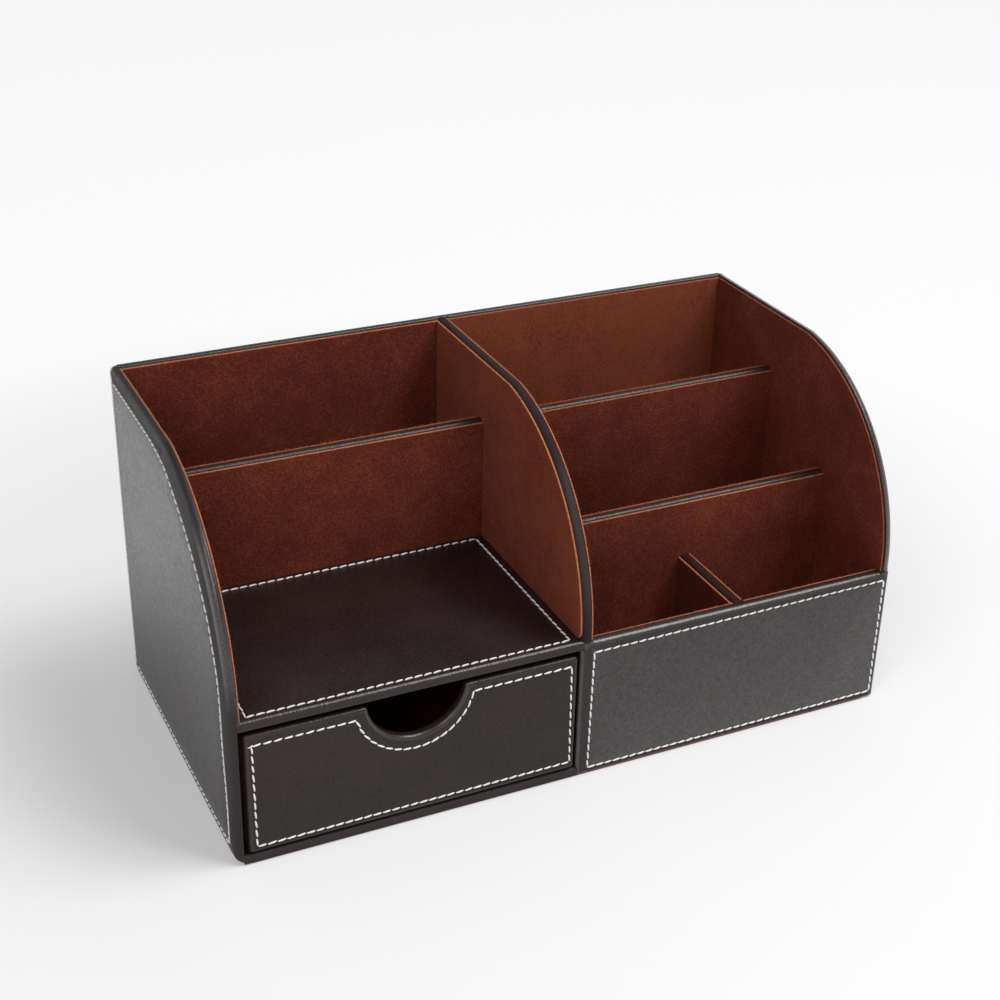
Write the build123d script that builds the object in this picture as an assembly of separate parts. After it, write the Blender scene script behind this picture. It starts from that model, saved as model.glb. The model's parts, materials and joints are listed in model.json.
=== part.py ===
from build123d import *
from math import sqrt
import os

# A desk organizer of leather-covered boards: a left bay with a shelf over a drawer and a pen
# slot behind, and a right bay of stepped pockets behind a low front panel.
# Millimetres. X runs to the right, Y to the back, Z up. The origin is at the middle of the underside.

# Overall size
width = 278.0
depth = 143.0
lower_height = 63.6        # where the tall panels' front edges begin to curve back
curve_radius = 78.0
curve_rise = 0.6           # the full arc would top out this far above the flat top edge
kink_radius = 14.0         # softens the meeting of the arc and the flat top
corner_radius = 3.2        # rounded corners of the side panels, seen from the side

# Sheet goods
board = 2.5
side_thickness = 1.7       # board of the two side panels
leather = 0.7
suede = 0.75
cloth = 0.6
turn_in = 10.0             # leather folded over an edge and glued to the inner face
reveal = 1.0               # a lining stops this far short of the leather crest
rear_reveal = 0.3          # the same for a lining behind a straight crest
crest_radius = 1.8         # outer rounding of a leather edge
fold_radius = 0.6          # inner rounding of a leather edge
cloth_inset = 0.4

# Bays and pockets
centre_shift = 0.6         # the middle wall stands this far right of the middle
front_drop = 2.6           # the front panel's top lies this far below the start of the curve
shelf_drop = 1.7
pen_slot_depth = 42.45
front_pocket_depth = 40.85
rear_divider_height = 115.0
middle_divider_height = 86.0

# Drawer
drawer_left_gap = 2.1
drawer_right_gap = 0.6
drawer_top_gap = 2.2
drawer_floor_gap = 0.6
drawer_rear_gap = 0.5
drawer_wall_drop = 5.0     # the drawer's walls are this much lower than its front
drawer_corner_radius = 1.5
notch_radius = 19.5
notch_depth = 17.3
notch_corner_radius = 1.6

# One length by which every cut runs past what it cuts
overrun = 5.0

# Planes of the carcass
lining = leather + suede
height = lower_height + curve_radius - curve_rise
curve_y = -depth / 2 + curve_radius

side_out = width / 2
side_board_out = side_out - leather
side_board_in = side_board_out - side_thickness
side_face = side_board_in - lining

centre_left = centre_shift - board / 2
centre_right = centre_shift + board / 2
centre_left_face = centre_left - lining
centre_right_face = centre_right + lining

front_out = -depth / 2
front_board_out = front_out + leather
front_board_in = front_board_out + board
front_face = front_board_in + lining
back_out = depth / 2
back_board_out = back_out - leather
back_board_in = back_board_out - board
back_face = back_board_in - lining

base_bottom = cloth
base_top = base_bottom + board
floor_face = base_top + lining
bay_floor = base_top + leather
front_top = lower_height - front_drop
shelf_top = lower_height - shelf_drop
shelf_bottom = shelf_top - leather - board - leather

divider_thickness = lining + board + lining
rear_divider_front = back_face - pen_slot_depth - divider_thickness
middle_divider_front = front_face + front_pocket_depth
bay_back = rear_divider_front + lining

# Planes of the drawer
drawer_left = -side_board_in + drawer_left_gap
drawer_right = centre_left_face - drawer_right_gap
drawer_low = bay_floor + drawer_floor_gap
drawer_high = shelf_bottom - drawer_top_gap
drawer_front_back = front_board_in + leather
drawer_back_out = bay_back - drawer_rear_gap
drawer_wall_low = drawer_low + board
drawer_wall_high = drawer_high - drawer_wall_drop


def slab(x, y, z):
    """A block between pairs of planes."""
    size = (x[1] - x[0], y[1] - y[0], z[1] - z[0])
    middle = ((x[0] + x[1]) / 2, (y[0] + y[1]) / 2, (z[0] + z[1]) / 2)
    return Pos(*middle) * Box(*size)


def long_edges(block, axis, side_axis, side, z_side):
    """The edges along one axis on one side and at the top or bottom of a block."""
    edges = block.edges().filter_by(axis)
    return edges.group_by(Axis.Z)[z_side].group_by(side_axis)[side]


def panel_outline(inset, back, bottom, rounded, corner):
    """Side view of a tall panel: straight front, arc, flat top, back and underside."""
    front = front_out + inset
    top = height - inset
    radius = curve_radius - inset
    crest = curve_y - sqrt(radius**2 - (top - lower_height) ** 2)
    sides = Polyline((crest, top), (back, top), (back, bottom), (front, bottom), (front, lower_height))
    arc = TangentArc((front, lower_height), (crest, top), tangent=(0, 1))
    face = make_face(sides.edges() + arc.edges())
    kink = face.vertices().sort_by_distance((crest, top, 0))[0]
    face = fillet(kink, kink_radius - inset)
    for point in rounded:
        face = fillet(face.vertices().sort_by_distance((*point, 0))[0], corner)
    return face


def upright(face, x_low, x_high):
    """A side view made solid between two planes."""
    return extrude(Plane.YZ.offset(x_low) * face, amount=x_high - x_low)


def tall_sheet(inset, bottom, x_low, x_high, back=back_board_in):
    """A flat sheet with a tall panel's outline, square at the back and underside."""
    return upright(panel_outline(inset, back, bottom, [], corner_radius), x_low, x_high)


def tall_block(x_low, x_high):
    """A tall panel in its leather, with its edges rounded along both faces."""
    block = tall_sheet(0, base_bottom, x_low, x_high, back_out)
    rims = block.edges().group_by(Axis.X)
    return fillet(rims[0] + rims[-1], crest_radius)


def crest_band(bottom, x_low, x_high):
    """The strip along a tall panel's top, arc and front, as wide as the leather is turned in."""
    inner = tall_sheet(turn_in, bottom - overrun, x_low, x_high, back_board_in + overrun)
    return tall_sheet(0, bottom, x_low, x_high) - inner


# Side panels: board, leather wrapped round all edges, suede on the inner face
def side_board(rounded):
    low = base_bottom + leather
    corners = [(back_board_out, height - leather), (back_board_out, low)]
    if rounded:
        corners.append((front_board_out, low))
    outline = panel_outline(leather, back_board_out, low, corners, corner_radius - leather)
    return upright(outline, -side_board_out, -side_board_in)


def side_block(rounded):
    corners = [(back_out, height), (back_out, base_bottom)]
    if rounded:
        corners.append((front_out, base_bottom))
    outline = panel_outline(0, back_out, base_bottom, corners, corner_radius)
    block = upright(outline, -side_out, -side_board_in)
    return fillet(block.edges().group_by(Axis.X)[0], crest_radius)


def side_turn_in():
    """The leather folded over onto the inner face, above the shelf and the front panel."""
    return crest_band(shelf_top, -side_board_in, -side_board_in + leather)


def side_lining(floor_step):
    """Suede for the inner face, cut away below the step."""
    sheet = tall_sheet(reveal, base_top, -side_board_in, -side_face)
    return sheet - side_turn_in() - floor_step


drawer_bay_step = slab(
    (-side_out - overrun, side_out + overrun),
    (front_out - overrun, bay_back),
    (base_top - overrun, shelf_top),
)
front_panel_step = slab(
    (-side_out - overrun, side_out + overrun),
    (front_out - overrun, front_board_in),
    (base_top - overrun, front_top),
)

left_side_board = side_board(True)
left_side_cover = side_block(True) - left_side_board + side_turn_in()
left_side_lining = side_lining(drawer_bay_step)

right_side_board = mirror(side_board(False), about=Plane.YZ)
right_block = mirror(side_block(False), about=Plane.YZ)
front_plate_zone = slab(
    (centre_left - leather, side_out),
    (front_out, front_board_out),
    (base_bottom, front_top),
)
right_turn_in = mirror(side_turn_in(), about=Plane.YZ)
right_side_cover = right_block - right_side_board - front_plate_zone + right_turn_in
right_side_lining = mirror(side_lining(front_panel_step), about=Plane.YZ)

# Centre panel: board, leather binding over its crest, suede on both faces
centre_outline = panel_outline(leather, back_board_in, base_top, [], corner_radius)
centre_board = upright(centre_outline, centre_left, centre_right)
centre_block = tall_block(centre_left - leather, centre_right + leather)
centre_ring = crest_band(front_top, centre_left - leather, centre_right + leather)
shelf_end = slab(
    (centre_left - leather, centre_left),
    (front_out, back_out),
    (base_bottom, shelf_top),
)
centre_binding = (centre_block & centre_ring) - centre_board - shelf_end

left_sheet = tall_sheet(reveal, base_top, centre_left_face, centre_left)
left_recess = crest_band(shelf_top, centre_left - leather, centre_left)
centre_left_lining = left_sheet - left_recess - drawer_bay_step
right_sheet = tall_sheet(reveal, base_top, centre_right, centre_right_face)
right_recess = crest_band(front_top, centre_right, centre_right + leather)
centre_right_lining = right_sheet - right_recess - front_panel_step

# Base and its cloth
base_board = slab(
    (-side_board_in, side_board_in),
    (front_board_out, back_board_in),
    (base_bottom, base_top),
)
base_cloth = slab(
    (-side_out + cloth_inset, side_out - cloth_inset),
    (front_out + cloth_inset, back_out - cloth_inset),
    (0, cloth),
)

# Back panel
back_board = slab(
    (-side_board_in, side_board_in),
    (back_board_in, back_board_out),
    (base_bottom, height - leather),
)
back_block = slab((-side_board_in, side_board_in), (back_board_in, back_out), (base_bottom, height))
back_block = fillet(long_edges(back_block, Axis.X, Axis.Y, -1, -1), crest_radius)


def back_turn_in(x_low, x_high):
    fold = slab((x_low, x_high), (back_board_in - leather, back_board_in), (height - turn_in, height))
    return fillet(long_edges(fold, Axis.X, Axis.Y, 0, -1), fold_radius)


def back_lining(x_low, x_high):
    sheet = slab((x_low, x_high), (back_face, back_board_in), (base_top, height - reveal))
    recess = slab((x_low, x_high), (back_board_in - leather, back_board_in), (height - turn_in, height))
    return sheet - recess


left_back = (-side_face, centre_left_face)
right_back = (centre_right_face, side_face)
back_cover = back_block - back_board + back_turn_in(*left_back) + back_turn_in(*right_back)
back_left_lining = back_lining(*left_back)
back_right_lining = back_lining(*right_back)

# Low front panel of the right bay
front_board = slab(
    (centre_right, side_board_in),
    (front_board_out, front_board_in),
    (base_top, front_top - leather),
)
front_block = slab(
    (centre_right, side_board_in),
    (front_out, front_board_in),
    (base_bottom, front_top),
)
front_block = fillet(long_edges(front_block, Axis.X, Axis.Y, 0, -1), crest_radius)
front_turn_in = slab(
    (centre_right_face, side_face),
    (front_board_in, front_board_in + leather),
    (front_top - turn_in, front_top),
)
front_turn_in = fillet(long_edges(front_turn_in, Axis.X, Axis.Y, -1, -1), fold_radius)
centre_end = centre_block & slab(
    (centre_left - leather, centre_right),
    (front_out, front_board_out),
    (base_bottom, front_top),
)
bay_end = slab(
    (centre_left_face, centre_right),
    (front_out, front_out + turn_in),
    (bay_floor, shelf_bottom),
)
bay_edge = bay_end.edges().filter_by(Axis.Z).group_by(Axis.Y)[0].sort_by(Axis.X)[0]
bay_return = fillet(bay_edge, crest_radius) - centre_board
shelf_front_end = slab(
    (centre_left - leather - overrun, centre_left),
    (front_out - overrun, front_board_out),
    (shelf_bottom, front_top + overrun),
)
right_end = right_block & slab(
    (side_board_in, side_out),
    (front_out, front_board_out),
    (base_bottom, front_top),
)
front_cover = front_block - front_board - base_board + front_turn_in
front_cover += right_end + (centre_end - shelf_front_end) + bay_return

front_lining = slab(
    (centre_right_face, side_face),
    (front_board_in, front_face),
    (base_top, front_top - rear_reveal),
)
front_lining -= slab(
    (centre_right, side_board_in),
    (front_board_in, front_board_in + leather),
    (front_top - turn_in, front_top),
)

# Shelf over the drawer
shelf_board = slab(
    (-side_board_in, centre_left),
    (front_board_out, bay_back),
    (shelf_bottom + leather, shelf_top - leather),
)
shelf_block = slab((-side_board_in, centre_left), (front_out, bay_back), (shelf_bottom, shelf_top))
shelf_block = fillet(long_edges(shelf_block, Axis.X, Axis.Y, 0, -1), crest_radius)
shelf_block = fillet(long_edges(shelf_block, Axis.X, Axis.Y, 0, 0), fold_radius)
shelf_underside = slab(
    (-side_out, centre_right),
    (front_out + turn_in, bay_back + overrun),
    (shelf_bottom - overrun, shelf_bottom + leather),
)
shelf_cover = shelf_block - shelf_board - shelf_underside

# Leather over the base's front edge, which runs back as the drawer's floor
base_front_block = slab(
    (-side_board_in, centre_left - leather),
    (front_out, bay_back),
    (base_bottom, bay_floor),
)
base_front_block = fillet(long_edges(base_front_block, Axis.X, Axis.Y, 0, -1), crest_radius)
base_front_cover = base_front_block - base_board


# Dividers: board with a leather binding over its top edge and suede on both faces.
# Each is made along X with its front face at zero, then set in place.
def divider(length, top, front_bottom):
    board_y = (lining, lining + board)
    band_y = (lining - leather, lining + board + leather)
    core = slab((0, length), board_y, (base_top, top - leather))
    band = slab((0, length), band_y, (top - turn_in, top))
    crest = fillet(band.edges().filter_by(Axis.X).group_by(Axis.Z)[-1], crest_radius)
    front = slab((0, length), (0, lining), (front_bottom, top - reveal)) - band
    rear = slab((0, length), (lining + board, divider_thickness), (base_top, top - rear_reveal)) - band
    return core, crest - core, front, rear


def placed(place, pieces):
    return [place * piece for piece in pieces]


left_bay = centre_left_face + side_face
right_bay = side_face - centre_right_face
pen_divider = placed(
    Pos(-side_face, rear_divider_front, 0),
    divider(left_bay, rear_divider_height, shelf_top),
)
rear_divider = placed(
    Pos(centre_right_face, rear_divider_front, 0),
    divider(right_bay, rear_divider_height, base_top),
)
middle_divider = placed(
    Pos(centre_right_face, middle_divider_front, 0),
    divider(right_bay, middle_divider_height, base_top),
)
small_x = (centre_right_face + side_face - divider_thickness) / 2
small_divider = placed(
    Pos(small_x, middle_divider_front, 0) * Rot(0, 0, -90),
    divider(front_pocket_depth, front_top, base_top),
)


# Suede on the floor of each pocket
def floor_lining(x, y):
    return slab(x, y, (base_top, floor_face))


rear_pocket = (rear_divider_front + divider_thickness, back_face)
middle_pocket = (middle_divider_front + divider_thickness, rear_divider_front)
front_pocket = (front_face, middle_divider_front)
pen_floor_lining = floor_lining((-side_face, centre_left_face), rear_pocket)
rear_floor_lining = floor_lining((centre_right_face, side_face), rear_pocket)
middle_floor_lining = floor_lining((centre_right_face, side_face), middle_pocket)
front_left_floor_lining = floor_lining((centre_right_face, small_x), front_pocket)
front_right_floor_lining = floor_lining((small_x + divider_thickness, side_face), front_pocket)


# Drawer front: a board with a half-round finger notch, wrapped in leather
def drawer_outline(inset):
    low = (drawer_left + inset, drawer_low + inset)
    high = (drawer_right - inset, drawer_high - inset)
    middle = ((low[0] + high[0]) / 2, (low[1] + high[1]) / 2)
    face = Pos(*middle) * Rectangle(high[0] - low[0], high[1] - low[1])
    notch_middle = drawer_high - notch_depth + notch_radius
    cut = notch_radius + inset
    face -= Pos(middle[0], notch_middle) * Circle(cut)
    half = sqrt(cut**2 - (notch_middle - high[1]) ** 2)
    for side in (-half, half):
        mouth = face.vertices().sort_by_distance((middle[0] + side, high[1], 0))[0]
        face = fillet(mouth, notch_corner_radius - inset)
    for x in (low[0], high[0]):
        for z in (low[1], high[1]):
            corner = face.vertices().sort_by_distance((x, z, 0))[0]
            face = fillet(corner, drawer_corner_radius - inset)
    return face


def facing(face, y_low, y_high):
    """A front view made solid between two planes."""
    return extrude(Plane.XZ.offset(-y_low) * face, amount=y_low - y_high)


drawer_front_board = facing(drawer_outline(leather), front_board_out, front_board_in)
drawer_front_block = facing(drawer_outline(0), front_out, drawer_front_back)
drawer_front_block = fillet(drawer_front_block.edges().group_by(Axis.Y)[0], crest_radius)

# Drawer box: bottom board under two sides and a back, all lined in suede
drawer_box = (drawer_left + leather, drawer_right - leather)
drawer_inside = (drawer_box[0] + board, drawer_box[1] - board)
drawer_walls = (drawer_wall_low, drawer_wall_high)
drawer_bottom_board = slab(
    drawer_box,
    (drawer_front_back, drawer_back_out),
    (drawer_low, drawer_wall_low),
)
drawer_left_board = slab(
    (drawer_box[0], drawer_inside[0]), (drawer_front_back, drawer_back_out), drawer_walls
)
drawer_right_board = slab(
    (drawer_inside[1], drawer_box[1]), (drawer_front_back, drawer_back_out), drawer_walls
)
drawer_back_board = slab(drawer_inside, (drawer_back_out - board, drawer_back_out), drawer_walls)

lined_x = (drawer_inside[0] + suede, drawer_inside[1] - suede)
lined_y = (drawer_front_back, drawer_back_out - board - suede)
lined_walls = (drawer_wall_low + suede, drawer_wall_high - reveal)
drawer_floor_lining = slab(
    drawer_inside,
    (drawer_front_back, drawer_back_out - board),
    (drawer_wall_low, drawer_wall_low + suede),
)
drawer_left_lining = slab((drawer_inside[0], lined_x[0]), (lined_y[0], lined_y[1] + suede), lined_walls)
drawer_right_lining = slab((lined_x[1], drawer_inside[1]), (lined_y[0], lined_y[1] + suede), lined_walls)
drawer_back_lining = slab(lined_x, (lined_y[1], lined_y[1] + suede), lined_walls)

# The drawer front's leather is turned in all round, and suede fills the middle of its inner face
inner_window = slab(
    (drawer_inside[0] + turn_in, drawer_inside[1] - turn_in),
    (front_board_in, drawer_front_back),
    (drawer_wall_low + suede, drawer_high - notch_depth - turn_in),
)
drawer_front_cover = drawer_front_block - drawer_front_board - inner_window
drawer_front_lining = inner_window

nodes = {
    "left_side_board": left_side_board,
    "centre_board": centre_board,
    "right_side_board": right_side_board,
    "back_board": back_board,
    "base_board": base_board,
    "front_board": front_board,
    "shelf_board": shelf_board,
    "left_side_cover": left_side_cover,
    "right_side_cover": right_side_cover,
    "back_cover": back_cover,
    "front_cover": front_cover,
    "shelf_cover": shelf_cover,
    "base_front_cover": base_front_cover,
    "centre_binding": centre_binding,
    "left_side_lining": left_side_lining,
    "right_side_lining": right_side_lining,
    "centre_left_lining": centre_left_lining,
    "centre_right_lining": centre_right_lining,
    "back_left_lining": back_left_lining,
    "back_right_lining": back_right_lining,
    "front_lining": front_lining,
    "pen_floor_lining": pen_floor_lining,
    "rear_floor_lining": rear_floor_lining,
    "middle_floor_lining": middle_floor_lining,
    "front_left_floor_lining": front_left_floor_lining,
    "front_right_floor_lining": front_right_floor_lining,
    "base_cloth": base_cloth,
    "drawer_front_board": drawer_front_board,
    "drawer_left_board": drawer_left_board,
    "drawer_right_board": drawer_right_board,
    "drawer_back_board": drawer_back_board,
    "drawer_bottom_board": drawer_bottom_board,
    "drawer_front_cover": drawer_front_cover,
    "drawer_front_lining": drawer_front_lining,
    "drawer_left_lining": drawer_left_lining,
    "drawer_right_lining": drawer_right_lining,
    "drawer_back_lining": drawer_back_lining,
    "drawer_floor_lining": drawer_floor_lining,
}
dividers = {
    "pen_divider": (pen_divider, ("board", "binding", "front_lining", "rear_lining")),
    "rear_divider": (rear_divider, ("board", "binding", "front_lining", "rear_lining")),
    "middle_divider": (middle_divider, ("board", "binding", "front_lining", "rear_lining")),
    "small_divider": (small_divider, ("board", "binding", "left_lining", "right_lining")),
}
for name, (pieces, kinds) in dividers.items():
    for piece, kind in zip(pieces, kinds):
        nodes[name + "_" + kind] = piece

os.makedirs("parts", exist_ok=True)
for name, shape in nodes.items():
    export_step(shape, "parts/" + name + ".step")
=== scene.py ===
import bpy, bmesh, json
from math import asin, atan2, cos, degrees, dist, exp, hypot, pi, radians, sin, sqrt, tau
import numpy as np
from mathutils import Matrix, Vector, noise
from mathutils.geometry import delaunay_2d_cdt


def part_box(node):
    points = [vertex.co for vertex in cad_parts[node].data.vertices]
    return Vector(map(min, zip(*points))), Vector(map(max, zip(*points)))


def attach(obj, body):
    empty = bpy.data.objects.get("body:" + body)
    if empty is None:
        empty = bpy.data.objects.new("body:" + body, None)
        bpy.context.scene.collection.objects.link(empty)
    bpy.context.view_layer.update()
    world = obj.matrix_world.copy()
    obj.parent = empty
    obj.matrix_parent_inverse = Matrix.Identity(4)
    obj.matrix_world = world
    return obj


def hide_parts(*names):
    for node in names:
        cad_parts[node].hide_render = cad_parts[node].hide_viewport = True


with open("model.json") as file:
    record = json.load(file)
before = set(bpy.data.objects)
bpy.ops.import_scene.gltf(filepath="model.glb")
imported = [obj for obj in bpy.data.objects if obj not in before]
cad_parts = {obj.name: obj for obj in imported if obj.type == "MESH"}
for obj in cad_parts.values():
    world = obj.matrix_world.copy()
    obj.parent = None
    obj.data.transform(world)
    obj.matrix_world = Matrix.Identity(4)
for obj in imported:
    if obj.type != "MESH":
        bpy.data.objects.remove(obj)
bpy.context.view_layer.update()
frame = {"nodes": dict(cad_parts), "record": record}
print("frame loaded:", len(frame["nodes"]), "nodes")

mm = 0.001  # shapes below are written in millimetres
leather = 0.7
suede = 0.75
hair = 0.05  # half a step in an outline
tiny = 0.04  # the tightest bend


def span(node):
    low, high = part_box(node)
    return [(low[i] / mm, high[i] / mm) for i in range(3)]


def pieceName(node, kind):  # left_side_cover in leather is leftSideLeather
    first, *words = node.split("_")[:-1]
    ending = {"leather": "Leather", "suede": "Suede", "base_cloth": "Felt"}[kind]
    return first + "".join(word.capitalize() for word in words) + ending


def bodyOf(node):
    return "drawer" if node.startswith("drawer") else "carcass"


def clamp(value, low=0, high=1):
    return min(max(value, low), high)


def blend(first, last, share):
    return first + (last - first) * share


def quarter(count):  # angles from 0 to a right angle
    return [pi / 2 * i / (count - 1) for i in range(count)]


def circle(count):
    return [tau * k / count for k in range(count)]


def paces(first, step, count):
    return [first + step * i for i in range(count)]


# node graphs: one wrapper for sockets, one method for every node
class Wire:
    def __init__(self, graph, socket):
        self.graph, self.socket = graph, socket

    def maths(self, operation, first, second):
        return self.graph.node("ShaderNodeMath", {"operation": operation}, {0: first, 1: second})

    def __add__(self, other): return self.maths("ADD", self, other)
    def __radd__(self, other): return self.maths("ADD", other, self)
    def __sub__(self, other): return self.maths("SUBTRACT", self, other)
    def __rsub__(self, other): return self.maths("SUBTRACT", other, self)
    def __mul__(self, other): return self.maths("MULTIPLY", self, other)
    def __pow__(self, other): return self.maths("POWER", self, other)


class Graph:
    def __init__(self, tree):
        self.tree = tree

    def node(self, kind, settings=None, sockets=None, out=0):
        made = self.tree.nodes.new(kind)
        for key, value in (settings or {}).items():
            setattr(made, key, value)
        for key, value in (sockets or {}).items():
            if isinstance(value, Wire):
                self.tree.links.new(value.socket, made.inputs[key])
            else:
                made.inputs[key].default_value = value
        return Wire(self, made.outputs[out]) if len(made.outputs) else made


class Finish(Graph):
    def __init__(self, name):
        self.material = bpy.data.materials.new(name)
        self.material.use_nodes = True
        super().__init__(self.material.node_tree)
        self.tree.nodes.clear()
        self.here = self.node("ShaderNodeTexCoord", out="Object")

    def speckle(self, size, detail=2.0, rough=0.5):  # size is the width of a blotch in millimetres
        return self.node("ShaderNodeTexNoise", {}, {"Vector": self.here, "Scale": 1 / (size * mm),
                                                    "Detail": detail, "Roughness": rough})

    def remap(self, value, low, high, toLow=0.0, toHigh=1.0):
        return self.node("ShaderNodeMapRange", {}, {"Value": value, "From Min": low, "From Max": high,
                                                    "To Min": toLow, "To Max": toHigh})

    def mix(self, share, first, second):
        return self.node("ShaderNodeMix", {"data_type": "RGBA"}, {"Factor": share, 6: first, 7: second}, 2)

    def mark(self, name):
        return self.node("ShaderNodeAttribute", {"attribute_name": name}, out="Fac")

    def bump(self, height, depth, strength, normal=None):
        sockets = {"Height": height, "Distance": depth * mm, "Strength": strength}
        if normal:
            sockets["Normal"] = normal
        return self.node("ShaderNodeBump", {}, sockets)

    def distance(self, middle):
        moved = self.node("ShaderNodeVectorMath", {"operation": "SUBTRACT"}, {0: self.here, 1: middle})
        return self.node("ShaderNodeVectorMath", {"operation": "LENGTH"}, {0: moved}, "Value")

    def show(self, shader):
        self.node("ShaderNodeOutputMaterial", {}, {"Surface": shader})
        return self.material

    def close(self, sockets):
        return self.show(self.node("ShaderNodeBsdfPrincipled", {}, sockets))


# finishes: colours, sizes of blotches and depths of bumps
darkLeather = {"brown": (0.0285, 0.0147, 0.0146, 1), "worn": (0.031, 0.0175, 0.0165, 1),
               "deep": (0.0090, 0.0045, 0.0048, 1), "clouds": 26, "dust": 0.8, "fine": 0.6, "sparkle": 1.5,
               "grain": 0.85, "grainDepth": 0.05, "pits": 0.3, "pores": 1.7, "poreRange": (0.62, 0.74),
               "creases": 3.2, "creaseDepth": 0.12, "waves": 17, "waveDepth": 0.16, "toneRange": (0.36, 0.64),
               "roughness": (0.34, 0.50), "wornSmooth": 0.13, "mattRough": 0.40, "wornPolish": 0.30,
               "patchyPolish": (0.38, 0.62, 0.30, 1.2), "polishRoughness": 0.36}


def makeLeather():
    d, f = darkLeather, Finish("darkLeather")
    cloud, fine, dust = f.speckle(d["clouds"], 3.0), f.speckle(d["fine"], 1.0), f.speckle(d["dust"], 2.0, 0.7)
    edge, sheen = f.mark("edge"), f.mark("sheen")
    worn, dulled = f.remap(edge, 0, 1), f.remap(edge, -1, 0, 1, 0)
    colour = f.mix(f.remap(cloud * 0.35 + dust * 0.65, *d["toneRange"]), d["deep"], d["brown"])
    # crests take a lighter colour: partly rubbed wear, partly a painted highlight
    colour = f.mix(worn * 0.5, colour, d["worn"])
    # matt bands are darkened towards the deep brown: painted shade
    colour = f.mix(dulled * 0.5, colour, d["deep"])
    pebbles = f.node("ShaderNodeTexVoronoi", {"feature": "SMOOTH_F1"}, {
        "Vector": f.here, "Scale": 1 / (d["grain"] * mm), "Smoothness": 0.6})
    pores = f.remap(f.speckle(d["pores"]), *d["poreRange"])
    lift = 1 - pebbles * 0.9 - pores * 0.35 + f.speckle(d["pits"], 1.0) * 0.4
    uneven = f.bump(f.speckle(d["waves"]), d["waveDepth"], 0.5)  # the sheet isn't dead flat
    creases = f.bump(f.speckle(d["creases"]) * worn, d["creaseDepth"], 0.7, uneven)
    grain = f.bump(lift * (1 + worn * 1.5), d["grainDepth"], 0.9, creases)
    rough = f.remap(cloud * 0.3 + fine * 0.7, 0.3, 0.7, *d["roughness"]) - worn * d["wornSmooth"]
    rough = rough + dulled * d["mattRough"] + f.remap(sheen, -1, 0, d["mattRough"], 0)
    patchy = fine * 0.3 + dust * 0.3 + f.speckle(d["sparkle"], 2.0, 0.6) * 0.4
    polish = sheen * f.remap(patchy, *d["patchyPolish"]) * (1 - dulled) + worn * d["wornPolish"]
    return f.close({"Base Color": colour, "Roughness": rough, "IOR": 1.5, "Coat Weight": f.remap(polish, 0, 1),
                    "Coat Roughness": d["polishRoughness"], "Normal": grain})


brownSuede = {"dark": (0.072, 0.0115, 0.0075, 1), "mid": (0.124, 0.0222, 0.0122, 1),
              "light": (0.220, 0.053, 0.025, 1), "cut": (0.60, 0.215, 0.090, 1), "glow": (0.80, 0.32, 0.16, 1),
              "strokes": 46, "patches": 8, "tufts": 1.2, "tuftDepth": 0.16, "fibres": 0.55, "fibreDepth": 0.10,
              "weights": (0.18, 0.12, 0.17, 0.37), "lift": 0.08, "midRange": (0.375, 0.525),
              "lightRange": (0.50, 0.62), "frayRange": (0.34, 0.54, 0.45, 1.0), "roughness": (0.86, 0.98)}


def makeSuede():
    d, f = brownSuede, Finish("brownSuede")
    napAndPaintedLight, patches = f.speckle(d["strokes"], 2.0, 0.6), f.speckle(d["patches"], 3.0, 0.6)
    tufts, fibres = f.speckle(d["tufts"], 2.0, 0.6), f.speckle(d["fibres"], 2.0, 0.75)
    first, second, third, fourth = d["weights"]
    # the sheen mark shifts a lining's whole tone: painted light and shade
    tone = napAndPaintedLight * first + patches * second + tufts * third + fibres * fourth + d["lift"] + f.mark("sheen")
    colour = f.mix(f.remap(tone, *d["midRange"]), d["dark"], d["mid"])
    colour = f.mix(f.remap(tone, *d["lightRange"]), colour, d["light"])
    frayed = f.mark("edge") * f.remap(tufts * 0.6 + fibres * 0.4, *d["frayRange"])
    colour = f.mix(frayed, colour, d["cut"])
    nap = f.bump(fibres, d["fibreDepth"], 0.8, f.bump(tufts, d["tuftDepth"], 0.4))
    return f.close({"Base Color": colour, "Roughness": f.remap(fibres, 0.3, 0.7, *d["roughness"]),
                    "Specular IOR Level": 0.12, "Sheen Weight": 0.10, "Sheen Roughness": 0.5,
                    "Sheen Tint": d["glow"], "Normal": nap})


# two-coloured finishes: blotch sizes and their noise, weights in the colour, roughness, bump
plainFinishes = {
    "hardboard": {"name": "pressedBoard", "dark": (0.17, 0.105, 0.06, 1), "light": (0.30, 0.20, 0.12, 1),
                  "broad": (2.2, 5.0, 0.7), "small": (0.5, 2.0), "weights": (0.6, 0.4), "share": (0.36, 0.64),
                  "roughness": (0.72, 0.9), "specular": 0.5, "bump": ("broad", 0.06, 0.6)},
    "base_cloth": {"name": "redBrownCloth", "dark": (0.20, 0.032, 0.032, 1), "light": (0.38, 0.070, 0.066, 1),
                   "broad": (9, 3.0), "small": (0.6, 4.0, 0.7), "weights": (0.3, 0.7), "share": (0.36, 0.62),
                   "roughness": (0.88, 0.98), "specular": 0.2, "bump": ("small", 0.12, 0.7)},
    "thread": {"name": "whiteThread", "dark": (0.82, 0.805, 0.78, 1), "light": (0.96, 0.955, 0.94, 1),
               "broad": (9, 2.0), "small": (0.16, 2.0), "weights": (0, 1), "share": (0.35, 0.65),
               "roughness": (0.6, 0.8), "specular": 0.5, "bump": ("small", 0.05, 0.6)}}


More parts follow.
